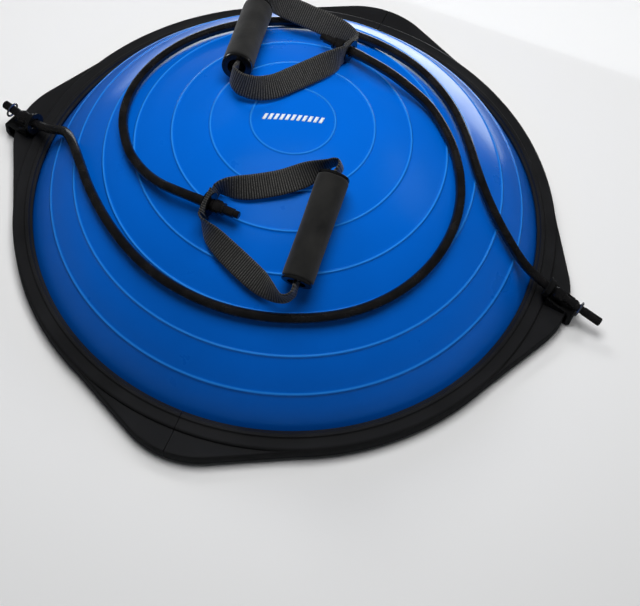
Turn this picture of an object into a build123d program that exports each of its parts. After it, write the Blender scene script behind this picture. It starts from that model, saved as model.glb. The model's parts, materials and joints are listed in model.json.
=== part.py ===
from build123d import *
import math
import os

# Balance dome trainer, in millimetres.
# The origin is on the floor under the centre of the dome, and +Z is up.
# The two ears that hold the resistance tubes are on X, and the two grip ears are on Y.

# ---- base outline and heights ----
RIM_RADIUS = 294.0            # round part of the base
RING_OVERHANG = 0.6           # the round clamping ring stands this far over the wall below it
EAR_TIP = 320.0               # centre of the base to the tip of an ear
EAR_RADIUS = 92.4             # rounding of each ear
EAR_CENTRE = EAR_TIP - EAR_RADIUS
BASE_BOTTOM = 4.0             # the rubber feet lift the base off the floor
RING_TOP = 21.5               # top of the round clamping ring
EAR_TOP = 18.0                # the ears are a step lower than the ring
SHEET = 3.0                   # wall of the moulded plastic
EAR_ROUND = 1.2
RIM_LIFT = 0.6                # the outer wall stops just above the tray's underside
PAST = 1.0                    # how far a cut or a join runs past the face that it meets

# ---- bladder ----
APEX = 172.5                  # top of the dome above the floor
CROWN_RADIUS = 331.0          # curve of the upper dome
CROWN_REACH = 215.0           # how far out the upper curve goes
SHOULDER_RADIUS = 225.0       # tighter curve down to the ring
SKIN = 3.0                    # thickness of the bladder wall
FLANGE_RADIUS = 286.0         # welded edge held under the ring
FLANGE_BOTTOM = EAR_TOP - SKIN
FLANGE_POCKET = FLANGE_RADIUS + 2
FLOOR_SKIN = 2.5
FLOOR_BOTTOM = FLANGE_BOTTOM - FLOOR_SKIN
RIB_RADII = (42.7, 83.1, 121.8, 160.4, 192.8, 224.9, 250.9)
RIB_ROUND = 1.5
RIB_PROUD = 1.0

# ---- clamping ring and its screws ----
RING_BORE = 273.0
LIP_INNER = 277.0
LIP_OUTER = 281.5
LIP_HEIGHT = 2.0
LIP_SLOPE = 1.0
RING_ROUND = 3.0
SEAM = 0.6                    # gap between the two halves of the ring
SCREW_CIRCLE = 279.2
SCREW_COUNT = 12
SCREW_RADIUS = 2.0
SCREW_HEAD_RADIUS = 4.0
SCREW_HEAD = 3.0
SCREW_TIP = 20.9
THREAD_GAP = 0.05
SCREW_CLEARANCE = 0.3
SCREW_HEAD_LOW = BASE_BOTTOM + 0.4
DRIVE_LENGTH = 4.6            # cross slot in the screw's head
DRIVE_WIDTH = 1.0
DRIVE_DEPTH = 1.0

# ---- tray ----
TRAY_INSET = 3.4
TRAY_FLOOR = 3.0
LEDGE_INNER = 268.0
LEDGE_OUTER = 287.0
TRAY_RINGS = (60.0, 120.0, 180.0, 240.0)
TRAY_RIB = 2.5
SPOKE_COUNT = 12
WELL_WIDTH = 72.0
WELL_INNER = 289.0
WELL_OUTER = 306.5
WELL_CEILING = 12.8
WELL_WALL = 2.0
FOOT_CIRCLE = 255.0
FOOT_COUNT = 8
FOOT_RADIUS = 12.0
FOOT_SINK = 1.0
FOOT_ROUND = 1.0

# ---- air valve, in the middle of the underside ----
VALVE_WELL = 16.0
VALVE_COLLAR = 20.5
VALVE_BORE = 5.0
VALVE_BARREL = 9.5
VALVE_FLANGE = 14.0
VALVE_FLANGE_THICK = 2.0
VALVE_LOW = 7.0
NUT_THICK = 2.5
PLUG_RUNNING_GAP = 0.05
PLUG_HEAD = 8.5
PLUG_LOW = 4.6
PLUG_TOP = 16.0
PLUG_JOIN = 0.5
PLUG_CHAMFER = 0.8
COIN_SLOT_WIDTH = 2.2
COIN_SLOT_DEPTH = 0.8

# ---- resistance tubes ----
TUBE_RADIUS = 5.0
NECK_GAP = 5.3                # the neck starts this far beyond the tube's round tip
FLEX_BEFORE_EYELET = 10.0     # where the tube bends when its handle is lifted
BALL_RADIUS = 4.6

# ---- handles ----
GRIP_RADIUS = 16.0
GRIP_LENGTH = 114.0
CAP_FLANGE = 3.0
CAP_RADIUS = 15.6
CAP_BORE = 9.4
CAP_SPIGOT = 8.0
CORE_BORE = 10.6
CORE_RADIUS = 12.3
WEBBING = 25.0
WEB_THICK = 2.0
FOLDED = 16.0                 # width of the webbing folded up inside the grip
FOLDED_THICK = 4.0
STRAP_TUCK = 6.0              # how far each arm reaches into the grip before it is folded up
FOLD_SHORT = 4.0
FOAM_ROUND = 2.0
CAP_ROUND = 1.2
EYELET_BORE = 6.5
EYELET_BARREL = 8.0
EYELET_FLANGE = 12.0
EYELET_SHEET = 1.2
EYELET_SLACK = 0.2

# ---- ear hooks ----
HOOK_WIDTH = 22.0
HOOK_PLATE = 3.0
HOOK_WALL_AT = 28.5           # ring centre to the inside of the hook's outer wall
HOOK_WALL = 5.0
HOOK_JAW_LOW = 1.2
HOOK_RING_BORE = 6.5
HOOK_RING_OUTER = 10.5
HOOK_RING_HALF = 2.5
HOOK_RIM = 1.5
HOOK_RING_TILT = 12.0         # the ring leans back to face the tube as it comes down the dome
HOOK_PLATE_START = 1.6
STALK_LOW = -12.4             # the ring's stalk passes over the clamping ring
STALK_HIGH = -8.0
STALK_WIDTH = 14.0
HOOK_JAW_START = 8.0
HOOK_CORNER = 3.0
CHEEK_THICK = 2.5
CHEEK_TOP = -3.0              # the cheeks slope down from beside the ring to the outer wall
CHEEK_KNEE = (13.0, -8.5)
CHEEK_FOOT = 1.5
RING_CENTRE_Z = 34.5
KEEPER_RADIUS = 7.6
KEEPER_WIRE = 1.1
KEEPER_HANG = 1.9
ANCHOR_BALL_AT = 11.5         # ring centre to the stop ball inside the tube's end
HANDLE_BALL_AT = 9.8          # eyelet centre to the stop ball inside the tube's end

# Each tube end passes through the ring of its ear hook. The turns are in degrees:
# "hook" is the way the hook faces, "end" and "drop" the way the tube's end points.
ANCHORS = {
    "left": {"x": -296.4, "y": -17.5, "hook": 166.0, "end": 166.0, "drop": -3.0, "tail": 41.0, "keeper": 30.0},
    "right": {"x": 295.7, "y": 6.5, "hook": -8.0, "end": -10.0, "drop": 12.0, "tail": 64.0, "keeper": 38.0},
}

# Each handle lies on the dome. "eyelet" is the middle of its eyelet, and "heading" is the way
# the tube runs through it, seen from above. The straps' routes are in the eyelet's own frame:
# along the tube, sideways, away from the dome, then the lean of the webbing in degrees
# (0 stands on its edge), its width and its thickness.
HANDLES = {
    "front": {
        "eyelet": (-38.0, -123.0, 161.2),
        "heading": -3.5,
        "plus_end": (66.4, -57.3, 183.6),
        "minus_end": (71.5, -164.7, 145.7),
    },
    "rear": {
        "eyelet": (16.6, 113.0, 166.9),
        "heading": 168.7,
        "plus_end": (-74.0, 28.0, 185.0),
        "minus_end": (-95.0, 136.5, 155.8),
    },
}
STRAPS = {
    "front": {
        "plus": [
            (1.1, -13, 0, 0, WEBBING, WEB_THICK), (1.1, 12.5, 0, 0, WEBBING, WEB_THICK),
            (3.5, 18, 0, -10, WEBBING, WEB_THICK), (10, 22, -1, -30, WEBBING, WEB_THICK),
            (19, 26, -3, -50, WEBBING, WEB_THICK), (32, 33, -6, -65, WEBBING, WEB_THICK),
            (52, 47, -10.5, -75, WEBBING, WEB_THICK), (66, 59, -12.5, -68, WEBBING, WEB_THICK),
            (76, 69, -13.5, -42, WEBBING, WEB_THICK), (84, 78, -14, -15, WEBBING, WEB_THICK),
            (90, 84.5, -14, 0, WEBBING, WEB_THICK), (95, 88, -13.8, 0, 24, WEB_THICK),
            (99.5, 88.5, -13.5, 0, 22, WEB_THICK), (101.8, 84.5, -13.4, 0, 20, 2.6),
            (100.6, 79.5, -13.3, 0, 17.5, 3.4),
        ],
        "minus": [
            (-1.1, 13, 0, 0, WEBBING, WEB_THICK), (-1.1, -12.5, 0, 0, WEBBING, WEB_THICK),
            (1, -18, 0, -8, WEBBING, WEB_THICK), (7, -22.5, -1, -25, WEBBING, WEB_THICK),
            (17, -28, -3, -48, WEBBING, WEB_THICK), (33, -35, -6, -65, WEBBING, WEB_THICK),
            (52, -42, -10, -75, WEBBING, WEB_THICK), (72, -49, -13.5, -68, WEBBING, WEB_THICK),
            (88, -54, -14.5, -42, WEBBING, WEB_THICK), (101, -56, -14, -15, WEBBING, WEB_THICK),
            (108.5, -54, -12.8, 0, 24, WEB_THICK), (112.6, -49, -11.8, 0, 21, 2.4),
            (112.4, -43, -11, 0, 18, 3.2),
        ],
    },
    "rear": {
        "plus": [
            (-1.1, -13, 0, 0, WEBBING, WEB_THICK), (-1.1, 12.5, 0, 0, WEBBING, WEB_THICK),
            (0, 24, -1, 15, WEBBING, WEB_THICK), (5, 40, -4, 38, WEBBING, WEB_THICK),
            (12, 58, -8, 48, WEBBING, WEB_THICK), (20, 78, -12.5, 50, WEBBING, WEB_THICK),
            (28, 97, -16.5, 40, WEBBING, WEB_THICK), (39, 111, -18.5, 20, WEBBING, WEB_THICK),
            (52, 118, -18.5, 5, WEBBING, WEB_THICK), (62, 118.5, -17, 0, 24, WEB_THICK),
            (68.8, 114.5, -15.8, 0, 21, 2.4), (70.9, 107.5, -15, 0, 18, 3.2),
        ],
        "minus": [
            (1.1, 13, 0, 0, WEBBING, WEB_THICK), (1.1, -12.5, 0, 0, WEBBING, WEB_THICK),
            (4, -17.5, 0.5, 5, WEBBING, WEB_THICK), (14, -20.5, 1.5, 15, WEBBING, WEB_THICK),
            (28, -21.5, 2.5, 28, WEBBING, WEB_THICK), (46, -20, 3, 35, WEBBING, WEB_THICK),
            (66, -18, 3, 35, WEBBING, WEB_THICK), (86, -18.5, 1.5, 28, WEBBING, WEB_THICK),
            (100, -21, -0.5, 15, WEBBING, WEB_THICK), (110, -23.5, -3, 5, WEBBING, WEB_THICK),
            (117.5, -22, -5.5, 0, 22, WEB_THICK), (120, -16.5, -6.5, 0, 20, 2.6),
            (117.8, -10.5, -7, 0, 17.5, 3.4),
        ],
    },
}

# The tubes' routes, from the ear hook to where each tube bends under its handle's eyelet.
TUBE_ROUTES = {
    "left": [
        (-296.4, -17.5, 34.5), (-276, -24, 43), (-257, -32, 59), (-240, -42, 77), (-224, -58, 89),
        (-204, -82, 99), (-169, -123, 107), (-126, -160, 112), (-77, -188, 113), (-21, -201, 113),
        (35, -198, 113), (89, -180, 113), (136, -149, 114), (170, -103, 115), (187, -50, 119),
        (185, 7, 124), (161, 57, 133), (122, 93, 144), (90, 101, 156), (58, 105, 167.5),
    ],
    "right": [
        (295.7, 6.5, 34.5), (275, 9, 44), (257, 11, 59), (239, 14, 81), (220, 23, 98),
        (200, 38, 113), (181, 60, 122), (165, 84, 125), (133, 123, 127), (86, 153, 131),
        (31, 162, 137), (-25, 159, 139), (-79, 146, 137), (-127, 118, 132), (-164, 76, 128),
        (-183, 23, 125), (-177, -32, 128), (-150, -76, 135.5), (-124, -98, 141.5),
        (-99, -112, 149), (-73.7, -119.7, 158),
    ],
}
TUBE_HANDLE = {"left": "rear", "right": "front"}

os.makedirs("parts", exist_ok=True)


# ---- small helpers ----
def save(name, solid):
    export_step(solid, f"parts/{name}.step")


def ring(outer, inner, low, high):
    tube = Cylinder(outer, high - low) - Cylinder(inner, high - low)
    return Pos(0, 0, (low + high) / 2) * tube


def disc(radius, low, high):
    return Pos(0, 0, (low + high) / 2) * Cylinder(radius, high - low)


def around(count, radius, first=0.0):
    return [Rot(0, 0, first + 360 / count * k) * Pos(radius, 0, 0) for k in range(count)]


def polar(radius, degrees):
    return (radius * math.cos(math.radians(degrees)), radius * math.sin(math.radians(degrees)))


# ---- base outline: a circle with four ears, joined by tangent straight lines ----
def base_outline(inset):
    rim = RIM_RADIUS - inset
    ear = EAR_RADIUS - inset
    half_turn = math.degrees(math.acos((RIM_RADIUS - EAR_RADIUS) / EAR_CENTRE))
    edges = []
    for k in range(4):
        axis = 90 * k
        centre = Vector(*polar(EAR_CENTRE, axis))
        start = centre + Vector(*polar(ear, axis - half_turn))
        tip = Vector(*polar(EAR_CENTRE + ear, axis))
        end = centre + Vector(*polar(ear, axis + half_turn))
        rim_start = Vector(*polar(rim, axis - half_turn))
        rim_end = Vector(*polar(rim, axis + half_turn))
        rim_middle = Vector(*polar(rim, axis + 45))
        next_rim = Vector(*polar(rim, axis + 90 - half_turn))
        edges.append(Line(rim_start, start))
        edges.append(ThreePointArc(start, tip, end))
        edges.append(Line(end, rim_end))
        edges.append(ThreePointArc(rim_end, rim_middle, next_rim))
    return make_face(Wire(edges))


def base_slab(inset, low, high):
    return Pos(0, 0, low) * extrude(base_outline(inset), high - low)


# ---- dome profile ----
CROWN_CENTRE_Z = APEX - CROWN_RADIUS
JOIN_Z = CROWN_CENTRE_Z + math.sqrt(CROWN_RADIUS**2 - CROWN_REACH**2)
SHOULDER_CENTRE_R = CROWN_REACH * (1 - SHOULDER_RADIUS / CROWN_RADIUS)
SHOULDER_CENTRE_Z = JOIN_Z - (JOIN_Z - CROWN_CENTRE_Z) * SHOULDER_RADIUS / CROWN_RADIUS


def crown_point(depth, radius):
    height = math.sqrt((CROWN_RADIUS - depth) ** 2 - radius**2)
    return (radius, CROWN_CENTRE_Z + height)


def join_point(depth):
    share = 1 - depth / CROWN_RADIUS
    return (CROWN_REACH * share, CROWN_CENTRE_Z + (JOIN_Z - CROWN_CENTRE_Z) * share)


def shoulder_point(depth, z):
    reach = math.sqrt((SHOULDER_RADIUS - depth) ** 2 - (z - SHOULDER_CENTRE_Z) ** 2)
    return (SHOULDER_CENTRE_R + reach, z)


def surface_z(radius):
    if radius < CROWN_REACH:
        return crown_point(0, radius)[1]
    return SHOULDER_CENTRE_Z + math.sqrt(SHOULDER_RADIUS**2 - (radius - SHOULDER_CENTRE_R) ** 2)


def bladder_dome():
    outer_foot = shoulder_point(0, EAR_TOP)
    inner_foot = shoulder_point(SKIN, FLANGE_BOTTOM)
    middle = (JOIN_Z + EAR_TOP) / 2
    profile = [
        ThreePointArc(crown_point(0, 0), crown_point(0, CROWN_REACH / 2), join_point(0)),
        ThreePointArc(join_point(0), shoulder_point(0, middle), outer_foot),
        Line(outer_foot, (FLANGE_RADIUS, EAR_TOP)),
        Line((FLANGE_RADIUS, EAR_TOP), (FLANGE_RADIUS, FLANGE_BOTTOM)),
        Line((FLANGE_RADIUS, FLANGE_BOTTOM), inner_foot),
        ThreePointArc(inner_foot, shoulder_point(SKIN, middle), join_point(SKIN)),
        ThreePointArc(join_point(SKIN), crown_point(SKIN, CROWN_REACH / 2), crown_point(SKIN, 0)),
        Line(crown_point(SKIN, 0), crown_point(0, 0)),
    ]
    shell = revolve(Plane.XZ * make_face(Wire(profile)), Axis.Z)
    for radius in RIB_RADII:
        centre_z = surface_z(radius) + RIB_PROUD - RIB_ROUND
        shell += Pos(0, 0, centre_z) * Torus(radius, RIB_ROUND)
    return shell - screw_holes(SCREW_RADIUS + SCREW_CLEARANCE, FLANGE_BOTTOM - PAST, EAR_TOP + PAST)


def bladder_floor():
    sheet = disc(FLANGE_RADIUS, FLOOR_BOTTOM, FLANGE_BOTTOM)
    sheet -= disc(VALVE_BARREL, FLOOR_BOTTOM - PAST, FLANGE_BOTTOM + PAST)
    return sheet - screw_holes(SCREW_RADIUS + SCREW_CLEARANCE, FLOOR_BOTTOM - PAST, FLANGE_BOTTOM + PAST)


# ---- clamping ring in two halves, with the ears and the outer wall ----
def screw_holes(radius, low, high):
    hole = disc(radius, low, high)
    places = around(SCREW_COUNT, SCREW_CIRCLE, 180 / SCREW_COUNT)
    return Part() + [place * hole for place in places]


def whole_ring():
    outer = RIM_RADIUS + RING_OVERHANG
    edge = outer - RING_ROUND
    lip_top = RING_TOP + LIP_HEIGHT
    corner = RING_ROUND * (1 - math.sqrt(0.5))
    profile = [
        Line((RING_BORE, EAR_TOP), (RING_BORE, RING_TOP)),
        Line((RING_BORE, RING_TOP), (LIP_INNER - LIP_SLOPE, RING_TOP)),
        Line((LIP_INNER - LIP_SLOPE, RING_TOP), (LIP_INNER, lip_top)),
        Line((LIP_INNER, lip_top), (LIP_OUTER, lip_top)),
        Line((LIP_OUTER, lip_top), (LIP_OUTER + LIP_SLOPE, RING_TOP)),
        Line((LIP_OUTER + LIP_SLOPE, RING_TOP), (edge, RING_TOP)),
        ThreePointArc(
            (edge, RING_TOP),
            (outer - corner, RING_TOP - corner),
            (outer, RING_TOP - RING_ROUND),
        ),
        Line((outer, RING_TOP - RING_ROUND), (outer, EAR_TOP - SHEET)),
        Line((outer, EAR_TOP - SHEET), (FLANGE_POCKET, EAR_TOP - SHEET)),
        Line((FLANGE_POCKET, EAR_TOP - SHEET), (FLANGE_POCKET, EAR_TOP)),
        Line((FLANGE_POCKET, EAR_TOP), (RING_BORE, EAR_TOP)),
    ]
    clamp = revolve(Plane.XZ * make_face(Wire(profile)), Axis.Z)
    low = BASE_BOTTOM + RIM_LIFT
    shell = base_slab(0, low, EAR_TOP)
    shell = fillet(shell.edges().group_by(Axis.Z)[-1], EAR_ROUND)
    shell -= base_slab(SHEET, low - PAST, EAR_TOP - SHEET)
    shell -= disc(FLANGE_POCKET, low - PAST, EAR_TOP + PAST)
    return clamp + shell - screw_holes(SCREW_RADIUS + THREAD_GAP, EAR_TOP - PAST, SCREW_TIP + THREAD_GAP)


def half_ring(full, side):
    reach = EAR_TIP + PAST
    keep = Pos(side * (SEAM + reach) / 2, 0, 0) * Box(reach, 2 * reach, 4 * reach)
    return full & keep


def ring_screws():
    head = disc(SCREW_HEAD_RADIUS, SCREW_HEAD_LOW, SCREW_HEAD_LOW + SCREW_HEAD)
    shank = disc(SCREW_RADIUS, SCREW_HEAD_LOW + SCREW_HEAD, SCREW_TIP)
    slot = Box(DRIVE_LENGTH, DRIVE_WIDTH, 2 * DRIVE_DEPTH)
    drive = Pos(0, 0, SCREW_HEAD_LOW) * (slot + Rot(0, 0, 90) * slot)
    screw = head + shank - drive
    return [place * screw for place in around(SCREW_COUNT, SCREW_CIRCLE, 180 / SCREW_COUNT)]


# ---- tray: the flat underside with its ribs, ledge, finger wells and pockets ----
def base_tray():
    floor_top = BASE_BOTTOM + TRAY_FLOOR
    rib_low = floor_top - PAST
    tray = base_slab(TRAY_INSET, BASE_BOTTOM, floor_top)
    tray += ring(LEDGE_OUTER, LEDGE_INNER, rib_low, FLOOR_BOTTOM)
    tray += ring(VALVE_COLLAR, VALVE_WELL, rib_low, FLOOR_BOTTOM)
    for radius in TRAY_RINGS:
        tray += ring(radius, radius - TRAY_RIB, rib_low, FLOOR_BOTTOM)
    length = LEDGE_INNER - VALVE_COLLAR + 2 * PAST
    spoke = Box(length, TRAY_RIB, FLOOR_BOTTOM - rib_low)
    spoke = Pos((LEDGE_INNER + VALVE_COLLAR) / 2, 0, (rib_low + FLOOR_BOTTOM) / 2) * spoke
    for k in range(SPOKE_COUNT):
        tray += Rot(0, 0, 360 / SPOKE_COUNT * k) * spoke
    for side in (90, 270):
        tray += Rot(0, 0, side) * finger_well(WELL_WALL, BASE_BOTTOM, WELL_CEILING + WELL_WALL)
        tray -= Rot(0, 0, side) * finger_well(0, BASE_BOTTOM - PAST, WELL_CEILING)
    tray -= disc(VALVE_WELL, BASE_BOTTOM - PAST, floor_top + PAST)
    pocket = disc(FOOT_RADIUS, BASE_BOTTOM - PAST, BASE_BOTTOM + FOOT_SINK)
    for place in around(FOOT_COUNT, FOOT_CIRCLE, 180 / FOOT_COUNT):
        tray -= place * pocket
    tray -= screw_holes(SCREW_RADIUS + SCREW_CLEARANCE, BASE_BOTTOM - PAST, FLOOR_BOTTOM + PAST)
    head_top = SCREW_HEAD_LOW + SCREW_HEAD
    return tray - screw_holes(SCREW_HEAD_RADIUS + SCREW_CLEARANCE, BASE_BOTTOM - PAST, head_top)


def finger_well(wall, low, high):
    depth = WELL_OUTER - WELL_INNER + 2 * wall
    middle = (WELL_OUTER + WELL_INNER) / 2
    return Pos(middle, 0, (low + high) / 2) * Box(depth, WELL_WIDTH + 2 * wall, high - low)


def rubber_feet():
    foot = disc(FOOT_RADIUS, 0, BASE_BOTTOM + FOOT_SINK)
    foot = fillet(foot.edges().group_by(Axis.Z)[0], FOOT_ROUND)
    return [place * foot for place in around(FOOT_COUNT, FOOT_CIRCLE, 180 / FOOT_COUNT)]


# ---- air valve ----
def valve_body():
    body = disc(VALVE_BARREL, VALVE_LOW, FLANGE_BOTTOM)
    top = FLANGE_BOTTOM + VALVE_FLANGE_THICK
    body += disc(VALVE_FLANGE, FLANGE_BOTTOM, top)
    return body - disc(VALVE_BORE, VALVE_LOW - PAST, top + PAST)


def valve_nut():
    low = FLOOR_BOTTOM - NUT_THICK
    nut = Pos(0, 0, low) * extrude(RegularPolygon(VALVE_FLANGE, 6), NUT_THICK)
    return nut - disc(VALVE_BARREL, low - PAST, FLOOR_BOTTOM + PAST)


def valve_plug():
    plug = disc(VALVE_BORE - PLUG_RUNNING_GAP, VALVE_LOW - PLUG_JOIN, PLUG_TOP)
    plug = chamfer(plug.edges().group_by(Axis.Z)[-1], PLUG_CHAMFER)
    plug += disc(PLUG_HEAD, PLUG_LOW, VALVE_LOW)
    return plug - Pos(0, 0, PLUG_LOW) * Box(2 * PLUG_HEAD, COIN_SLOT_WIDTH, 2 * COIN_SLOT_DEPTH)


# ---- ear hooks and the tube ends that they hold ----
def anchor_frame(anchor, turn, drop=0.0):
    place = Pos(anchor["x"], anchor["y"], RING_CENTRE_Z)
    return place * Rot(0, 0, turn) * Rot(0, drop, 0)


def along_x(radius, start, end):
    return Pos((start + end) / 2, 0, 0) * Rot(0, 90, 0) * Cylinder(radius, end - start)


def ear_hook(anchor):
    top = EAR_TOP + HOOK_PLATE - RING_CENTRE_Z
    under = EAR_TOP - RING_CENTRE_Z
    jaw_top = BASE_BOTTOM - RING_CENTRE_Z
    jaw_low = HOOK_JAW_LOW - RING_CENTRE_Z
    outside = HOOK_WALL_AT + HOOK_WALL
    jaw_inside = HOOK_WALL_AT
    corner = HOOK_CORNER
    side_view = Polyline(
        (HOOK_PLATE_START, under), (jaw_inside, under), (jaw_inside, jaw_top),
        (HOOK_JAW_START, jaw_top), (HOOK_JAW_START, jaw_low), (outside - corner, jaw_low),
        (outside, jaw_low + corner), (outside, top - corner), (outside - corner, top),
        (HOOK_PLATE_START, top), close=True,
    )
    clip = extrude(Plane.XZ * make_face(side_view), HOOK_WIDTH / 2, both=True)
    cheek_end = jaw_inside - PAST
    cheek_view = Polyline(
        (HOOK_PLATE_START, top - PAST), (HOOK_PLATE_START, CHEEK_TOP), CHEEK_KNEE,
        (cheek_end, top + CHEEK_FOOT), (cheek_end, top - PAST), close=True,
    )
    cheek = extrude(Plane.XZ * make_face(cheek_view), CHEEK_THICK / 2, both=True)
    for side in (-1, 1):
        clip += Pos(0, side * (HOOK_WIDTH - CHEEK_THICK) / 2, 0) * cheek
    post = Box(HOOK_RING_HALF, STALK_WIDTH, STALK_HIGH - top + PAST)
    clip += Pos(HOOK_PLATE_START + HOOK_RING_HALF / 2, 0, (top - PAST + STALK_HIGH) / 2) * post
    stalk = Box(2.5 * HOOK_RING_HALF, STALK_WIDTH, STALK_HIGH - STALK_LOW)
    clip += Pos(-HOOK_RING_HALF / 4, 0, (STALK_LOW + STALK_HIGH) / 2) * stalk
    eye = along_x(HOOK_RING_OUTER, -HOOK_RING_HALF, HOOK_RING_HALF)
    eye += along_x(HOOK_RING_OUTER + HOOK_RIM, -HOOK_RING_HALF - HOOK_RIM, -HOOK_RING_HALF)
    bore = along_x(HOOK_RING_BORE, -3 * HOOK_RING_HALF, 2 * HOOK_RING_HALF)
    clip += Rot(0, HOOK_RING_TILT, 0) * eye
    clip -= Rot(0, HOOK_RING_TILT, 0) * bore
    return anchor_frame(anchor, anchor["hook"]) * clip


def turned(points):
    """A solid of revolution about X, from (distance along X, radius) points."""
    outline = [(points[0][0], 0)] + list(points) + [(points[-1][0], 0)]
    return revolve(Plane.XY * make_face(Polyline(*outline, close=True)), Axis.X)


def anchor_end(anchor):
    """The tube's end swells over its stop ball, then narrows to a long tail with a thicker tip."""
    tail = anchor["tail"]
    tip = max(tail - 22, 21)
    body = turned([
        (0, TUBE_RADIUS), (4, TUBE_RADIUS), (8, 7.0), (15, 7.0), (20, 4.2),
        (tip, 4.2), (tip + 0.5, 4.6), (tail - 1, 4.6), (tail, 3.6),
    ])
    body -= Pos(ANCHOR_BALL_AT, 0, 0) * Sphere(BALL_RADIUS)
    return anchor_frame(anchor, anchor["end"], anchor["drop"]) * body


def anchor_ball(anchor):
    ball = Pos(ANCHOR_BALL_AT, 0, 0) * Sphere(BALL_RADIUS)
    return anchor_frame(anchor, anchor["end"], anchor["drop"]) * ball


def keeper_ring(anchor):
    wire = Pos(anchor["keeper"], 0, -KEEPER_HANG) * Rot(0, 90, 0) * Torus(KEEPER_RADIUS, KEEPER_WIRE)
    return anchor_frame(anchor, anchor["end"], anchor["drop"]) * wire


# ---- handle frames ----
def eyelet_frame(handle):
    """Origin at the eyelet, X along the tube, Y sideways, Z away from the dome."""
    eyelet = Vector(*handle["eyelet"])
    up = (eyelet - Vector(0, 0, CROWN_CENTRE_Z)).normalized()
    heading = Vector(*polar(1, handle["heading"]))
    along = (heading - up * heading.dot(up)).normalized()
    return Plane(origin=eyelet, x_dir=along, z_dir=up)


def grip_frame(handle):
    """Origin at the middle of the grip, Z along it towards the plus end."""
    plus = Vector(*handle["plus_end"])
    minus = Vector(*handle["minus_end"])
    return Plane(origin=(plus + minus) / 2, z_dir=plus - minus)


def flex_point(frame):
    return frame.origin - frame.x_dir * FLEX_BEFORE_EYELET


# ---- handle pieces ----
def strap_section(frame, before, here, after):
    a, s, n, lean, width, thick = here
    point = Vector(a, s, n)
    path = (Vector(*after[:3]) - Vector(*before[:3])).normalized()
    up = Vector(0, 0, 1)
    turn = math.radians(lean)
    across = up * math.cos(turn) + path.cross(up) * math.sin(turn)
    across = (across - path * across.dot(path)).normalized()
    section = Plane(
        origin=frame.from_local_coords(point),
        x_dir=frame.from_local_coords(across) - frame.origin,
        z_dir=frame.from_local_coords(path) - frame.origin,
    )
    return section * Rectangle(width, thick)


def strap_arm(frame, stations, mouth, inward):
    """One arm of the strap, from its end at the eyelet to the mouth of the grip."""
    mouth_local = frame.to_local_coords(mouth)
    inside = frame.to_local_coords(mouth + inward * STRAP_TUCK)
    ends = [
        (*mouth_local, 0, FOLDED, FOLDED_THICK),
        (*inside, 0, FOLDED, FOLDED_THICK),
    ]
    route = list(stations) + ends
    sections = []
    for k, here in enumerate(route):
        before = route[max(k - 1, 0)]
        after = route[min(k + 1, len(route) - 1)]
        sections.append(strap_section(frame, before, here, after))
    return loft(sections, ruled=True)


def strap(name, handle):
    frame = eyelet_frame(handle)
    plus = Vector(*handle["plus_end"])
    minus = Vector(*handle["minus_end"])
    inward = (minus - plus).normalized()
    folded = Plane(origin=(plus + minus) / 2, x_dir=frame.z_dir, z_dir=inward) * Box(
        FOLDED, FOLDED_THICK, GRIP_LENGTH - 2 * FOLD_SHORT
    )
    body = strap_arm(frame, STRAPS[name]["plus"], plus, inward)
    body += strap_arm(frame, STRAPS[name]["minus"], minus, inward * -1)
    body += folded
    return body - frame * along_x(EYELET_BARREL, -2 * WEB_THICK - PAST, 2 * WEB_THICK + PAST)


def eyelet(handle):
    half = WEB_THICK + EYELET_SLACK
    outer = half + EYELET_SHEET
    body = along_x(EYELET_BARREL, -half, half)
    body += along_x(EYELET_FLANGE, -outer, -half)
    body += along_x(EYELET_FLANGE, half, outer)
    return eyelet_frame(handle) * (body - along_x(EYELET_BORE, -outer - PAST, outer + PAST))


def handle_end(handle):
    """From the bend to the tip: neck, swelling over the stop ball, bright collar and stepped tail."""
    start = NECK_GAP - FLEX_BEFORE_EYELET
    body = turned([
        (start, TUBE_RADIUS), (4.5, TUBE_RADIUS), (7, 7.2), (12.5, 7.2), (15, 5.4), (15.6, 6.2),
        (17.6, 6.2), (18, 4.6), (28, 4.6), (28.5, 3.8), (33, 3.8), (33.6, 3.2),
    ])
    body -= Pos(HANDLE_BALL_AT, 0, 0) * Sphere(BALL_RADIUS)
    return eyelet_frame(handle) * body


def handle_ball(handle):
    return eyelet_frame(handle) * (Pos(HANDLE_BALL_AT, 0, 0) * Sphere(BALL_RADIUS))


def grip_foam(handle):
    half = GRIP_LENGTH / 2 - CAP_FLANGE
    foam = disc(GRIP_RADIUS, -half, half)
    foam = fillet(foam.edges(), FOAM_ROUND)
    return grip_frame(handle) * (foam - disc(CORE_RADIUS, -half - PAST, half + PAST))


def grip_core(handle):
    half = GRIP_LENGTH / 2 - CAP_FLANGE
    return grip_frame(handle) * ring(CORE_RADIUS, CORE_BORE, -half, half)


def grip_cap(handle, side):
    end = GRIP_LENGTH / 2
    flange_low = end - CAP_FLANGE
    spigot_low = flange_low - CAP_SPIGOT
    cap = disc(CAP_RADIUS, flange_low, end)
    cap = fillet(cap.edges().group_by(Axis.Z)[-1], CAP_ROUND)
    cap += disc(CORE_BORE, spigot_low, flange_low)
    cap -= disc(CAP_BORE, spigot_low - PAST, end + PAST)
    flip = Rot(0, 0, 0) if side > 0 else Rot(180, 0, 0)
    return grip_frame(handle) * (flip * cap)


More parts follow.
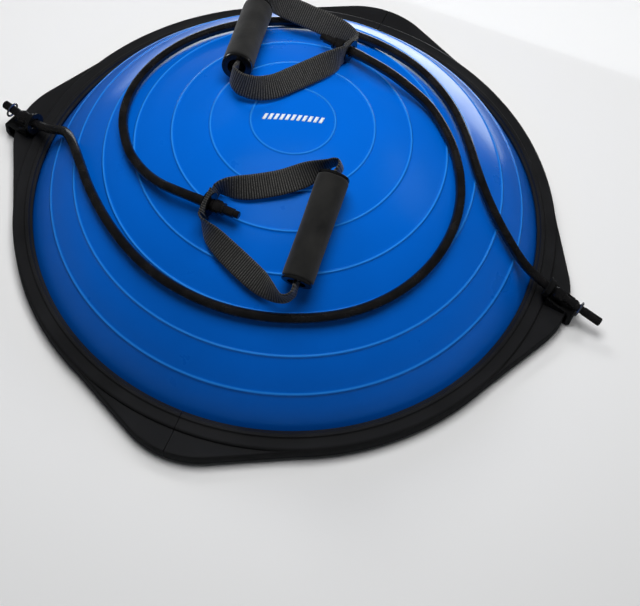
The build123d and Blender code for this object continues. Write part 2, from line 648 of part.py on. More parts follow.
# ---- resistance tubes ----
def tube(side):
    handle = HANDLES[TUBE_HANDLE[side]]
    tip = flex_point(eyelet_frame(handle))
    route = [Vector(*point) for point in TUBE_ROUTES[side]] + [tip]
    runs = [end - start for start, end in zip(route, route[1:])]
    radii = []
    for first, second in zip(runs, runs[1:]):
        half_turn = math.radians(first.get_angle(second) / 2)
        radii.append(0.45 * min(first.length, second.length) / math.tan(half_turn))
    path = FilletPolyline(*route, radius=radii)
    section = Plane(origin=route[0], z_dir=runs[0]) * Circle(TUBE_RADIUS)
    body = sweep(section, path=path)
    expected = math.pi * TUBE_RADIUS**2 * path.length
    print(f"tube_{side}: length {path.length:.0f} mm, volume {body.volume / expected:.4f} of section x length")
    print("  radii " + " ".join(f"{radius:.0f}" for radius in radii))
    return body + Pos(*tip) * Sphere(TUBE_RADIUS)


# ---- write every piece ----
save("base_tray", base_tray())
full_ring = whole_ring()
save("clamp_ring_left", half_ring(full_ring, -1))
save("clamp_ring_right", half_ring(full_ring, 1))
save("ring_screws", Compound(children=ring_screws()))
save("bladder_dome", bladder_dome())
save("bladder_floor", bladder_floor())
save("rubber_feet", Compound(children=rubber_feet()))
save("valve_body", valve_body())
save("valve_nut", valve_nut())
save("valve_plug", valve_plug())
for side, anchor in ANCHORS.items():
    save(f"ear_hook_{side}", ear_hook(anchor))
    save(f"tube_{side}", tube(side))
    save(f"tube_{side}_anchor_end", anchor_end(anchor))
    save(f"tube_{side}_anchor_ball", anchor_ball(anchor))
    save(f"tube_{side}_keeper_ring", keeper_ring(anchor))
    name = TUBE_HANDLE[side]
    save(f"tube_{side}_handle_end", handle_end(HANDLES[name]))
    save(f"tube_{side}_handle_ball", handle_ball(HANDLES[name]))
for name, handle in HANDLES.items():
    save(f"{name}_strap", strap(name, handle))
    save(f"{name}_eyelet", eyelet(handle))
    save(f"{name}_grip_foam", grip_foam(handle))
    save(f"{name}_grip_core", grip_core(handle))
    save(f"{name}_grip_cap_plus", grip_cap(handle, 1))
    save(f"{name}_grip_cap_minus", grip_cap(handle, -1))
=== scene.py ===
import json
import math

import bmesh
import bpy
from mathutils import Matrix, Vector, noise


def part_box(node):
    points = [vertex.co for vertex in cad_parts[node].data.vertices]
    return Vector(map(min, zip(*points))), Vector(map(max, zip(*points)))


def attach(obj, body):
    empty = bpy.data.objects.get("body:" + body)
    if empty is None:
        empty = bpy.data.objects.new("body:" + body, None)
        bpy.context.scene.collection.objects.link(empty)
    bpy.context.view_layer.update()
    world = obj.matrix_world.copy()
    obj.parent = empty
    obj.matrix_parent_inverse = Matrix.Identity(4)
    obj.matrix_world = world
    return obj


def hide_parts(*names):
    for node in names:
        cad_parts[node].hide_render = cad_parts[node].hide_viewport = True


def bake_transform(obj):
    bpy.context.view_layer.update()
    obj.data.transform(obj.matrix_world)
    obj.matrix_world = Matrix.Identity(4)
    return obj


# The looks of the balance dome trainer, in metres, in the CAD model's own frame:
# the origin is on the floor under the dome, and +Z is up.

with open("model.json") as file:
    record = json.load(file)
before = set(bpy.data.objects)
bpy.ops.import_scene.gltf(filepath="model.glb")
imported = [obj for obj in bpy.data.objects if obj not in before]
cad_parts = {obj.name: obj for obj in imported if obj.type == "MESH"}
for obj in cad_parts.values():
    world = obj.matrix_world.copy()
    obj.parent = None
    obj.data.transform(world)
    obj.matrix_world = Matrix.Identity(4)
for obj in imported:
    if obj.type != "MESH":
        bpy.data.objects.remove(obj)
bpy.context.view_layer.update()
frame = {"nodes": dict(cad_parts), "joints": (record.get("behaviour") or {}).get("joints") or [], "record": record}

# ---- base ----
RIM_RADIUS = 0.294
RING_RADIUS = 0.2946
EAR_RADIUS = 0.0924
EAR_CENTRE = 0.2276
RING_BORE = 0.2731
RING_TOP = 0.0215
EAR_TOP = 0.018
WALL = 0.003
LIP_INNER = 0.277
LIP_OUTER = 0.2815
LIP_HEIGHT = 0.002
RING_ROUND = 0.003
EAR_ROUND = 0.0016
RIM_LOW = 0.0046
HALF_SEAM_DEGREES = 0.06
RIM_STEPS = 420               # sections round each half of the ring
LIP_ROUND = 0.0007
POCKET_RADIUS = RING_BORE + 0.015   # inside this, the ring's underside steps up over the flange

# ---- dome ----
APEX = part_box("bladder_dome")[1].z
CROWN_RADIUS = 0.331
CROWN_REACH = 0.215
SHOULDER_RADIUS = 0.225
RIB_RADII = (0.0427, 0.0831, 0.1218, 0.1604, 0.1928, 0.2249, 0.2509)
RIB_PROUD = 0.001
RIB_HALF = 0.0019
SKIN = 0.003
DOME_STEPS = 360
DOME_ROWS = 110               # rows from the middle to the edge, before those on the ribs
EDGE_TUCK = 0.004             # how far the dome's edge runs under the ring

# ---- resistance tubes ----
TUBE_RADIUS = 0.005
FLEX_BEFORE_EYELET = 0.010
NECK_GAP = 0.0053
FLEX_BACK = 0.008             # how far the bending stretch reaches back over the tube
FLEX_PROUD = 0.00025
FLEX_PAST_NECK = 0.0006
TUBE_ROUTES = {
    "left": [
        (-0.2964, -0.0175, 0.0345), (-0.276, -0.024, 0.043), (-0.257, -0.032, 0.059),
        (-0.240, -0.042, 0.077), (-0.224, -0.058, 0.089), (-0.204, -0.082, 0.099),
        (-0.169, -0.123, 0.107), (-0.126, -0.160, 0.112), (-0.077, -0.188, 0.113),
        (-0.021, -0.201, 0.113), (0.035, -0.198, 0.113), (0.089, -0.180, 0.113),
        (0.136, -0.149, 0.114), (0.170, -0.103, 0.115), (0.187, -0.050, 0.119),
        (0.185, 0.007, 0.124), (0.161, 0.057, 0.133), (0.122, 0.093, 0.144),
        (0.090, 0.101, 0.156), (0.058, 0.105, 0.1675),
    ],
    "right": [
        (0.2957, 0.0065, 0.0345), (0.275, 0.009, 0.044), (0.257, 0.011, 0.059),
        (0.239, 0.014, 0.081), (0.220, 0.023, 0.098), (0.200, 0.038, 0.113),
        (0.181, 0.060, 0.122), (0.165, 0.084, 0.125), (0.133, 0.123, 0.127),
        (0.086, 0.153, 0.131), (0.031, 0.162, 0.137), (-0.025, 0.159, 0.139),
        (-0.079, 0.146, 0.137), (-0.127, 0.118, 0.132), (-0.164, 0.076, 0.128),
        (-0.183, 0.023, 0.125), (-0.177, -0.032, 0.128), (-0.150, -0.076, 0.1355),
        (-0.124, -0.098, 0.1415), (-0.099, -0.112, 0.149), (-0.0737, -0.1197, 0.158),
    ],
}
TUBE_HANDLE = {"left": "rear", "right": "front"}

# ---- handles ----
GRIP_RADIUS = 0.016
FOAM_HALF = 0.054
FOAM_ROUND = 0.0022
FOAM_SIDES = 96
FOAM_ROWS = 90
CORE_RADIUS = 0.0123
GRIP_MOUTH = 0.003            # from the foam's end to the outer face of its cap
STRAP_TUCK = 0.008            # how far the webbing reaches into the grip
WEBBING = 0.025
WEB_THICK = 0.002
RIB_PITCH = 0.00235           # of the webbing's cross ribs
RIB_DEPTH = 0.00035
# Each strap arm in its eyelet's own frame: along the tube, sideways, away from the dome, then the
# lean of the webbing in degrees (0 stands on its edge), its width and its thickness.
STRAPS = {
    "front": {
        "plus": [
            (0.0011, -0.013, 0, 0, WEBBING, WEB_THICK),
            (0.0011, 0.0125, 0, 0, WEBBING, WEB_THICK),
            (0.0035, 0.018, 0, -10, WEBBING, WEB_THICK),
            (0.010, 0.022, -0.001, -30, WEBBING, WEB_THICK),
            (0.019, 0.026, -0.003, -50, WEBBING, WEB_THICK),
            (0.032, 0.033, -0.006, -65, WEBBING, WEB_THICK),
            (0.052, 0.047, -0.0105, -75, WEBBING, WEB_THICK),
            (0.066, 0.059, -0.0125, -68, WEBBING, WEB_THICK),
            (0.076, 0.069, -0.0135, -42, WEBBING, WEB_THICK),
            (0.084, 0.078, -0.014, -15, WEBBING, WEB_THICK),
            (0.090, 0.0845, -0.014, 0, WEBBING, WEB_THICK),
            (0.095, 0.088, -0.0138, 0, 0.024, WEB_THICK),
            (0.0995, 0.0885, -0.0135, 0, 0.022, WEB_THICK),
            (0.1018, 0.0845, -0.0134, 0, 0.020, 0.0026),
            (0.1006, 0.0795, -0.0133, 0, 0.0175, 0.0034),
        ],
        "minus": [
            (-0.0011, 0.013, 0, 0, WEBBING, WEB_THICK),
            (-0.0011, -0.0125, 0, 0, WEBBING, WEB_THICK),
            (0.001, -0.018, 0, -8, WEBBING, WEB_THICK),
            (0.007, -0.0225, -0.001, -25, WEBBING, WEB_THICK),
            (0.017, -0.028, -0.003, -48, WEBBING, WEB_THICK),
            (0.033, -0.035, -0.006, -65, WEBBING, WEB_THICK),
            (0.052, -0.042, -0.010, -75, WEBBING, WEB_THICK),
            (0.072, -0.049, -0.0135, -68, WEBBING, WEB_THICK),
            (0.088, -0.054, -0.0145, -42, WEBBING, WEB_THICK),
            (0.101, -0.056, -0.014, -15, WEBBING, WEB_THICK),
            (0.1085, -0.054, -0.0128, 0, 0.024, WEB_THICK),
            (0.1126, -0.049, -0.0118, 0, 0.021, 0.0024),
            (0.1124, -0.043, -0.011, 0, 0.018, 0.0032),
        ],
    },
    "rear": {
        "plus": [
            (-0.0011, -0.013, 0, 0, WEBBING, WEB_THICK),
            (-0.0011, 0.0125, 0, 0, WEBBING, WEB_THICK),
            (0, 0.024, -0.001, 15, WEBBING, WEB_THICK),
            (0.005, 0.040, -0.004, 38, WEBBING, WEB_THICK),
            (0.012, 0.058, -0.008, 48, WEBBING, WEB_THICK),
            (0.020, 0.078, -0.0125, 50, WEBBING, WEB_THICK),
            (0.028, 0.097, -0.0165, 40, WEBBING, WEB_THICK),
            (0.039, 0.111, -0.0185, 20, WEBBING, WEB_THICK),
            (0.052, 0.118, -0.0185, 5, WEBBING, WEB_THICK),
            (0.062, 0.1185, -0.017, 0, 0.024, WEB_THICK),
            (0.0688, 0.1145, -0.0158, 0, 0.021, 0.0024),
            (0.0709, 0.1075, -0.015, 0, 0.018, 0.0032),
        ],
        "minus": [
            (0.0011, 0.013, 0, 0, WEBBING, WEB_THICK),
            (0.0011, -0.0125, 0, 0, WEBBING, WEB_THICK),
            (0.004, -0.0175, 0.0005, 5, WEBBING, WEB_THICK),
            (0.014, -0.0205, 0.0015, 15, WEBBING, WEB_THICK),
            (0.028, -0.0215, 0.0025, 28, WEBBING, WEB_THICK),
            (0.046, -0.020, 0.003, 35, WEBBING, WEB_THICK),
            (0.066, -0.018, 0.003, 35, WEBBING, WEB_THICK),
            (0.086, -0.0185, 0.0015, 28, WEBBING, WEB_THICK),
            (0.100, -0.021, -0.0005, 15, WEBBING, WEB_THICK),
            (0.110, -0.0235, -0.003, 5, WEBBING, WEB_THICK),
            (0.1175, -0.022, -0.0055, 0, 0.022, WEB_THICK),
            (0.120, -0.0165, -0.0065, 0, 0.020, 0.0026),
            (0.1178, -0.0105, -0.007, 0, 0.0175, 0.0034),
        ],
    },
}


# ---- materials ----
def new_material(name, colour, roughness):
    material = bpy.data.materials.new(name)
    material.use_nodes = True
    shader = material.node_tree.nodes["Principled BSDF"]
    shader.inputs["Base Color"].default_value = (*colour, 1)
    shader.inputs["Roughness"].default_value = roughness
    return material, shader


def add_node(material, kind, settings=None, inputs=None):
    node = material.node_tree.nodes.new(kind)
    for key, value in (settings or {}).items():
        setattr(node, key, value)
    for key, value in (inputs or {}).items():
        node.inputs[key].default_value = value
    return node


def join(material, output, target):
    material.node_tree.links.new(output, target)


def speckle(material, scale, detail=3.0, stretch=None):
    """Noise in the piece's own coordinates. scale is in spots per metre."""
    place = add_node(material, "ShaderNodeTexCoord")
    where = place.outputs["Object"]
    if stretch:
        mapping = add_node(material, "ShaderNodeMapping", inputs={"Scale": stretch})
        join(material, where, mapping.inputs["Vector"])
        where = mapping.outputs["Vector"]
    texture = add_node(material, "ShaderNodeTexNoise", inputs={"Scale": scale, "Detail": detail})
    join(material, where, texture.inputs["Vector"])
    return texture.outputs["Fac"]


def ramp(material, value, low, high, start=0.3, end=0.7):
    """Spreads a value between start and end over low to high."""
    node = add_node(material, "ShaderNodeMapRange", inputs={
        "From Min": start, "From Max": end, "To Min": low, "To Max": high,
    })
    join(material, value, node.inputs["Value"])
    return node.outputs["Result"]


def blend_colours(material, factor, first, second):
    node = add_node(material, "ShaderNodeMix", {"data_type": "RGBA"})
    for socket, colour in ((node.inputs[6], first), (node.inputs[7], second)):
        if isinstance(colour, tuple):
            socket.default_value = (*colour, 1)
        else:
            join(material, colour, socket)
    join(material, factor, node.inputs[0])
    return node.outputs[2]


def relief(material, height, distance, strength):
    node = add_node(material, "ShaderNodeBump", inputs={"Strength": strength, "Distance": distance})
    join(material, height, node.inputs["Height"])
    return node.outputs["Normal"]


def moulded_plastic(name, dark, light, low, high, grain=0.00006):
    """Black moulding: fine texture, faint cloudy handling marks and uneven shine."""
    material, shader = new_material(name, dark, high)
    clouds = speckle(material, 14, 5)
    fine = speckle(material, 900, 2)
    colour = blend_colours(material, ramp(material, clouds, 0, 1), dark, light)
    join(material, colour, shader.inputs["Base Color"])
    join(material, ramp(material, clouds, low, high), shader.inputs["Roughness"])
    join(material, relief(material, fine, grain, 0.6), shader.inputs["Normal"])
    return material


def dome_vinyl():
    material, shader = new_material("dome_vinyl", (0.0, 0.13, 0.66), 0.3)
    clouds = speckle(material, 6, 4)
    colour = blend_colours(
        material, ramp(material, clouds, 0, 1), (0.0, 0.125, 0.62), (0.0, 0.145, 0.72),
    )
    # Paler blue on the rib crests: partly the vinyl's own whitening there, partly a painted highlight of the light
    # the crests catch.
    rib = add_node(material, "ShaderNodeAttribute", {"attribute_name": "rib"})
    stretched = ramp(material, rib.outputs["Fac"], 0, 0.55, 0.35, 1.0)
    rib_whitening_and_sheen = blend_colours(material, stretched, colour, (0.04, 0.33, 0.86))
    join(material, rib_whitening_and_sheen, shader.inputs["Base Color"])
    join(material, ramp(material, speckle(material, 22, 4), 0.27, 0.35), shader.inputs["Roughness"])
    skin = relief(material, speckle(material, 350, 2), 0.00003, 0.35)
    join(material, skin, shader.inputs["Normal"])
    shader.inputs["Specular Tint"].default_value = (0.35, 0.8, 1.0, 1)
    shader.inputs["Coat Weight"].default_value = 0.25
    shader.inputs["Coat Roughness"].default_value = 0.16
    return material


def tube_latex():
    material, shader = new_material("tube_latex", (0.006, 0.006, 0.0065), 0.24)
    smears = speckle(material, 60, 4, (1, 1, 2.5))
    colour = blend_colours(
        material, ramp(material, smears, 0, 1), (0.004, 0.004, 0.0045), (0.012, 0.011, 0.011),
    )
    join(material, colour, shader.inputs["Base Color"])
    join(material, ramp(material, smears, 0.19, 0.31), shader.inputs["Roughness"])
    join(material, relief(material, speckle(material, 500, 2), 0.00004, 0.3), shader.inputs["Normal"])
    return material


def webbing_nylon():
    material, shader = new_material("webbing_nylon", (0.012, 0.012, 0.012), 0.5)
    coordinate = add_node(material, "ShaderNodeUVMap", {"uv_map": "weave"})
    rows = add_node(material, "ShaderNodeTexNoise", inputs={"Scale": 1.0, "Detail": 2.0})
    squeeze = add_node(material, "ShaderNodeMapping", inputs={"Scale": (1.6, 24.0, 1.0)})
    join(material, coordinate.outputs["UV"], squeeze.inputs["Vector"])
    join(material, squeeze.outputs["Vector"], rows.inputs["Vector"])
    # Pale grey on the webbing's rib crests: a painted highlight of the light the crests catch.
    crest = add_node(material, "ShaderNodeAttribute", {"attribute_name": "crest"})
    painted_crest_highlight = add_node(material, "ShaderNodeMath", {"operation": "MULTIPLY"})
    join(material, crest.outputs["Fac"], painted_crest_highlight.inputs[0])
    join(material, ramp(material, rows.outputs["Fac"], 0.1, 1.0, 0.35, 0.65), painted_crest_highlight.inputs[1])
    colour = blend_colours(material, painted_crest_highlight.outputs[0], (0.004, 0.004, 0.004), (0.2, 0.197, 0.19))
    join(material, colour, shader.inputs["Base Color"])
    join(material, relief(material, rows.outputs["Fac"], 0.00025, 0.7), shader.inputs["Normal"])
    shader.inputs["Sheen Weight"].default_value = 0.25
    shader.inputs["Sheen Roughness"].default_value = 0.4
    return material


def foam():
    material, shader = new_material("grip_foam", (0.017, 0.0165, 0.016), 0.85)
    pores = speckle(material, 1500, 3)
    clouds = speckle(material, 45, 4)
    colour = blend_colours(
        material, ramp(material, clouds, 0, 1), (0.012, 0.012, 0.012), (0.024, 0.0235, 0.0225),
    )
    join(material, colour, shader.inputs["Base Color"])
    join(material, relief(material, pores, 0.00018, 0.8), shader.inputs["Normal"])
    shader.inputs["Sheen Weight"].default_value = 0.12
    shader.inputs["Sheen Roughness"].default_value = 0.5
    return material


def metal(name, colour, roughness):
    material, shader = new_material(name, colour, roughness)
    shader.inputs["Metallic"].default_value = 1.0
    scratches = speckle(material, 700, 3, (1, 1, 6))
    join(material, ramp(material, scratches, roughness * 0.8, roughness * 1.5), shader.inputs["Roughness"])
    join(material, relief(material, scratches, 0.00002, 0.3), shader.inputs["Normal"])
    return material


def print_ink():
    material, shader = new_material("print_ink", (0.86, 0.9, 0.94), 0.4)
    patches = speckle(material, 500, 3)
    colour = blend_colours(material, ramp(material, patches, 0, 1), (0.78, 0.84, 0.9), (0.92, 0.95, 0.97))
    join(material, colour, shader.inputs["Base Color"])
    return material


def rubber():
    material, shader = new_material("foot_rubber", (0.02, 0.02, 0.02), 0.8)
    join(material, relief(material, speckle(material, 600, 3), 0.0001, 0.8), shader.inputs["Normal"])
    join(material, ramp(material, speckle(material, 30, 3), 0.7, 0.9), shader.inputs["Roughness"])
    return material


LOOKS = {
    "dome_vinyl": dome_vinyl(),
    "floor_vinyl": moulded_plastic("floor_vinyl", (0.0, 0.1, 0.42), (0.0, 0.12, 0.5), 0.35, 0.5),
    "ring_plastic": moulded_plastic("ring_plastic", (0.009, 0.009, 0.0095), (0.017, 0.017, 0.018), 0.36, 0.5),
    "tray_plastic": moulded_plastic("tray_plastic", (0.012, 0.012, 0.012), (0.02, 0.02, 0.021), 0.45, 0.6),
    "hook_plastic": moulded_plastic("hook_plastic", (0.005, 0.005, 0.0055), (0.01, 0.01, 0.01), 0.2, 0.34),
    "cap_plastic": moulded_plastic("cap_plastic", (0.005, 0.005, 0.005), (0.009, 0.009, 0.009), 0.14, 0.25),
    "core_plastic": moulded_plastic("core_plastic", (0.02, 0.02, 0.02), (0.03, 0.03, 0.03), 0.4, 0.55),
    "valve_plastic": moulded_plastic("valve_plastic", (0.02, 0.02, 0.021), (0.03, 0.03, 0.03), 0.35, 0.5),
    "stop_ball_plastic": moulded_plastic("stop_ball", (0.2, 0.2, 0.21), (0.3, 0.3, 0.31), 0.2, 0.3),
    "tube_rubber": tube_latex(),
    "webbing": webbing_nylon(),
    "grip_foam": foam(),
    "foot_rubber": rubber(),
    "screw_steel": metal("screw_steel", (0.5, 0.5, 0.52), 0.3),
    "plated_steel": metal("plated_steel", (0.75, 0.75, 0.78), 0.12),
    "eyelet_metal": metal("eyelet_metal", (0.09, 0.09, 0.095), 0.16),
    "print_ink": print_ink(),
}


# ---- small helpers ----
def paint(piece, slot_name):
    piece.data.materials.clear()
    piece.data.materials.append(LOOKS[slot_name])


def mesh_piece(name, points, faces, slot_name, sharp_degrees=40):
    mesh = bpy.data.meshes.new(name)
    mesh.from_pydata(points, [], faces)
    work = bmesh.new()
    work.from_mesh(mesh)
    bmesh.ops.remove_doubles(work, verts=work.verts, dist=1e-6)
    bmesh.ops.recalc_face_normals(work, faces=work.faces)
    work.to_mesh(mesh)
    work.free()
    mesh.shade_smooth()
    mesh.set_sharp_from_angle(angle=math.radians(sharp_degrees))
    piece = bpy.data.objects.new(name, mesh)
    bpy.context.scene.collection.objects.link(piece)
    paint(piece, slot_name)
    return piece


def grid_faces(rows, columns, close_rows=False, close_columns=False):
    """Quads over a grid of rows x columns points, stored row by row."""
    faces = []
    for r in range(rows if close_rows else rows - 1):
        following = (r + 1) % rows
        for c in range(columns if close_columns else columns - 1):
            beside = (c + 1) % columns
            faces.append((r * columns + c, r * columns + beside,
                          following * columns + beside, following * columns + c))
    return faces


def soften(piece, width, angle=35):
    """Small rounded edges on a CAD part, as modifiers: its own mesh isn't changed."""
    weld = piece.modifiers.new("weld", "WELD")
    weld.merge_threshold = 1e-6
    bevel = piece.modifiers.new("bevel", "BEVEL")
    bevel.width = width
    bevel.segments = 2
    bevel.limit_method = "ANGLE"
    bevel.angle_limit = math.radians(angle)
    bevel.harden_normals = False
    normals = piece.modifiers.new("normals", "WEIGHTED_NORMAL")
    normals.keep_sharp = True


# ---- camera ----
def set_camera():
    """The view of the photograph: a long lens from above the front, tipped a little."""
    azimuth, elevation, roll = math.radians(16.37), math.radians(57.49), math.radians(6.21)
    distance = 1.6133
    target = Vector((0.0751, -0.0897, 0.004))
    back = Vector((
        math.sin(azimuth) * math.cos(elevation),
        -math.cos(azimuth) * math.cos(elevation),
        math.sin(elevation),
    ))
    camera = bpy.data.objects.new("camera", bpy.data.cameras.new("camera"))
    bpy.context.scene.collection.objects.link(camera)
    camera.data.sensor_width = 36
    camera.data.lens = 85.76
    camera.rotation_mode = "QUATERNION"
    camera.location = target + back * distance
    turn = (-back).to_track_quat("-Z", "Y").to_matrix() @ Matrix.Rotation(roll, 3, "Z")
    camera.rotation_quaternion = turn.to_quaternion()
    bpy.context.scene.camera = camera


# ---- light and floor ----
def area_light(name, place, aim, size, power):
    """A soft light that the shiny parts don't mirror."""
    lamp = bpy.data.lights.new(name, "AREA")
    lamp.shape = "RECTANGLE"
    lamp.size, lamp.size_y = size
    lamp.energy = power
    holder = bpy.data.objects.new(name, lamp)
    bpy.context.scene.collection.objects.link(holder)
    holder.location = place
    holder.rotation_mode = "QUATERNION"
    holder.rotation_quaternion = (Vector(aim) - Vector(place)).to_track_quat("-Z", "Y")
    holder.visible_glossy = False


def set_studio():
    """Mostly overhead light, with two weak keys behind that throw the shadows towards the camera."""
    bpy.context.scene.view_settings.view_transform = "Standard"
    world = bpy.data.worlds.new("studio")
    bpy.context.scene.world = world
    world.use_nodes = True
    world.node_tree.nodes["Background"].inputs["Color"].default_value = (0.9, 0.95, 1.0, 1)
    world.node_tree.nodes["Background"].inputs["Strength"].default_value = 0.05
    area_light("key_back_left", (-0.9, 1.0, 1.3), (0, 0, 0.05), (0.7, 0.5), 8)
    area_light("key_back_right", (0.95, 0.9, 1.25), (0, 0, 0.05), (0.6, 0.45), 4)
    area_light("overhead", (-0.05, 0.1, 1.6), (0, 0, 0.1), (0.9, 0.9), 19)
    add_floor()
    add_back_card()


def stage_sheet(name, corners, material):
    mesh = bpy.data.meshes.new(name)
    mesh.from_pydata(corners, [], [(0, 1, 2, 3)])
    sheet = bpy.data.objects.new(name, mesh)
    bpy.context.scene.collection.objects.link(sheet)
    sheet.data.materials.append(material)
    return sheet


def add_floor():
    material, _ = new_material("pale_floor", (0.9, 0.9, 0.9), 0.9)
    reach = 6.0
    corners = [(-reach, -reach, 0), (reach, -reach, 0), (reach, reach, 0), (-reach, reach, 0)]
    floor = stage_sheet("floor", corners, material)
    floor.visible_glossy = False


def add_back_card():
    """A lit white card on the floor behind the trainer, which the dome's far side mirrors."""
    material, shader = new_material("white_card", (0.9, 0.9, 0.9), 0.9)
    shader.inputs["Emission Color"].default_value = (0.9, 0.95, 1.0, 1)
    shader.inputs["Emission Strength"].default_value = 2.6
    corners = [(-0.75, 0.36, 0.002), (0.32, 0.36, 0.002), (0.55, 1.3, 0.002), (-1.1, 1.3, 0.002)]
    card = stage_sheet("back_card", corners, material)
    card.visible_camera = False
    card.visible_diffuse = False
    card.visible_shadow = False


# ---- dome ----
CROWN_Z = APEX - CROWN_RADIUS
JOIN_Z = CROWN_Z + math.sqrt(CROWN_RADIUS**2 - CROWN_REACH**2)
SHOULDER_R = CROWN_REACH * (1 - SHOULDER_RADIUS / CROWN_RADIUS)
SHOULDER_Z = JOIN_Z - (JOIN_Z - CROWN_Z) * SHOULDER_RADIUS / CROWN_RADIUS


def dome_height(radius):
    if radius < CROWN_REACH:
        return CROWN_Z + math.sqrt(CROWN_RADIUS**2 - radius**2)
    return SHOULDER_Z + math.sqrt(SHOULDER_RADIUS**2 - (radius - SHOULDER_R) ** 2)


def dome_normal(radius):
    if radius < CROWN_REACH:
        normal = Vector((radius, 0, dome_height(radius) - CROWN_Z))
    else:
        normal = Vector((radius - SHOULDER_R, 0, dome_height(radius) - SHOULDER_Z))
    return normal.normalized()


def rib_share(radius):
    """1 on the crest of a moulded rib, and 0 between the ribs."""
    nearest = min(abs(radius - rib) for rib in RIB_RADII)
    return 0.0 if nearest >= RIB_HALF else 0.5 + 0.5 * math.cos(math.pi * nearest / RIB_HALF)


def dome_stations():
    """Radii from the edge of the dome to its middle: close together over each rib."""
    edge = RING_BORE + EDGE_TUCK
    radii = [edge * k / DOME_ROWS for k in range(1, DOME_ROWS + 1)]
    for rib in RIB_RADII:
        radii = [radius for radius in radii if abs(radius - rib) > RIB_HALF * 1.1]
        radii += [rib + RIB_HALF * k / 6 for k in range(-6, 7)]
    return sorted(radii, reverse=True)


def build_dome():
    radii = dome_stations()
    profile = []
    for radius in radii:
        proud = RIB_PROUD * rib_share(radius)
        place = Vector((radius, 0, dome_height(radius))) + dome_normal(radius) * proud
        profile.append((place.x, place.z, rib_share(radius)))
    inner = [radii[k] for k in range(len(radii) - 1, 0, -6)] + [radii[0]]
    for radius in inner:
        place = Vector((radius, 0, dome_height(radius))) - dome_normal(radius) * SKIN
        profile.append((place.x, place.z, 0.0))
    points = []
    for k in range(DOME_STEPS):
        turn = 2 * math.pi * k / DOME_STEPS
        points += [(r * math.cos(turn), r * math.sin(turn), z) for r, z, _ in profile]
    faces = grid_faces(DOME_STEPS, len(profile), close_rows=True)
    outer_middle, inner_middle = len(radii) - 1, len(radii)
    faces = [f for f in faces if f[0] % len(profile) != outer_middle]
    step = len(profile)
    top, under = len(points), len(points) + 1
    points += [(0, 0, APEX), (0, 0, APEX - SKIN)]
    for k in range(DOME_STEPS):
        following = (k + 1) % DOME_STEPS
        faces.append((k * step + outer_middle, following * step + outer_middle, top))
        faces.append((k * step + inner_middle, following * step + inner_middle, under))
        faces.append((k * step, following * step, following * step + step - 1, k * step + step - 1))
    piece = mesh_piece("dome", points, faces, "dome_vinyl", 60)
    # The rib mask carries the paler crest paint, which is partly a painted highlight.
    mark = piece.data.attributes.new("rib", "FLOAT", "POINT")
    for k, vertex in enumerate(piece.data.vertices):
        place = vertex.co
        radius = math.hypot(place.x, place.y)
        outside = place.z > dome_height(min(radius, RING_BORE)) - SKIN / 2
        mark.data[k].value = rib_share(radius) if outside else 0.0
    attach(piece, "trainer")
    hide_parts("bladder_dome")


# ---- clamping ring and ears ----
def outline_radius(turn):
    """How far the base reaches at an angle: a round rim, four ears, and straight sides between."""
    half = math.acos((RIM_RADIUS - EAR_RADIUS) / EAR_CENTRE)
    off_axis = abs((turn + math.pi / 4) % (math.pi / 2) - math.pi / 4)
    if off_axis >= half:
        return RIM_RADIUS
    touch = math.atan2(EAR_RADIUS * math.sin(half), EAR_CENTRE + EAR_RADIUS * math.cos(half))
    if off_axis < touch:
        across = EAR_CENTRE * math.sin(off_axis)
        return EAR_CENTRE * math.cos(off_axis) + math.sqrt(EAR_RADIUS**2 - across**2)
    return RIM_RADIUS / math.cos(off_axis - half)


def rounded_corner(r, z, size, start, steps):
    """Points of a quarter circle of that size about (r, z), turning down from start degrees."""
    angles = [math.radians(start - 90 * k / steps) for k in range(steps + 1)]
    return [(r + size * math.cos(a), z + size * math.sin(a)) for a in angles]


def ring_section(turn):
    """Radius and height round one cut through the ring, its ear and the outer wall."""
    reach = max(outline_radius(turn), RING_RADIUS)
    ear_round = max(min(EAR_ROUND, reach - RING_RADIUS), 1e-5)
    lip_top = RING_TOP + LIP_HEIGHT
    section = [(RING_BORE, EAR_TOP)]
    section += rounded_corner(RING_BORE + LIP_ROUND, RING_TOP - LIP_ROUND, LIP_ROUND, 180, 3)
    section += [(LIP_INNER - 0.0012, RING_TOP), (LIP_INNER - 0.0006, RING_TOP + 0.0004)]
    section += rounded_corner(LIP_INNER + LIP_ROUND, lip_top - LIP_ROUND, LIP_ROUND, 180, 4)
    section += rounded_corner(LIP_OUTER - LIP_ROUND, lip_top - LIP_ROUND, LIP_ROUND, 90, 4)
    section += [(LIP_OUTER + 0.0006, RING_TOP + 0.0004), (LIP_OUTER + 0.0014, RING_TOP)]
    section += rounded_corner(RING_RADIUS - RING_ROUND, RING_TOP - RING_ROUND, RING_ROUND, 90, 6)
    section += [(RING_RADIUS, EAR_TOP), (max(RING_RADIUS, (RING_RADIUS + reach - ear_round) / 2), EAR_TOP)]
    section += rounded_corner(reach - ear_round, EAR_TOP - ear_round, ear_round, 90, 5)
    section += [(reach, RIM_LOW + 0.0006), (reach - 0.0006, RIM_LOW), (reach - WALL, RIM_LOW)]
    section += [(reach - WALL, EAR_TOP - WALL), (POCKET_RADIUS, EAR_TOP - WALL), (POCKET_RADIUS, EAR_TOP)]
    return section


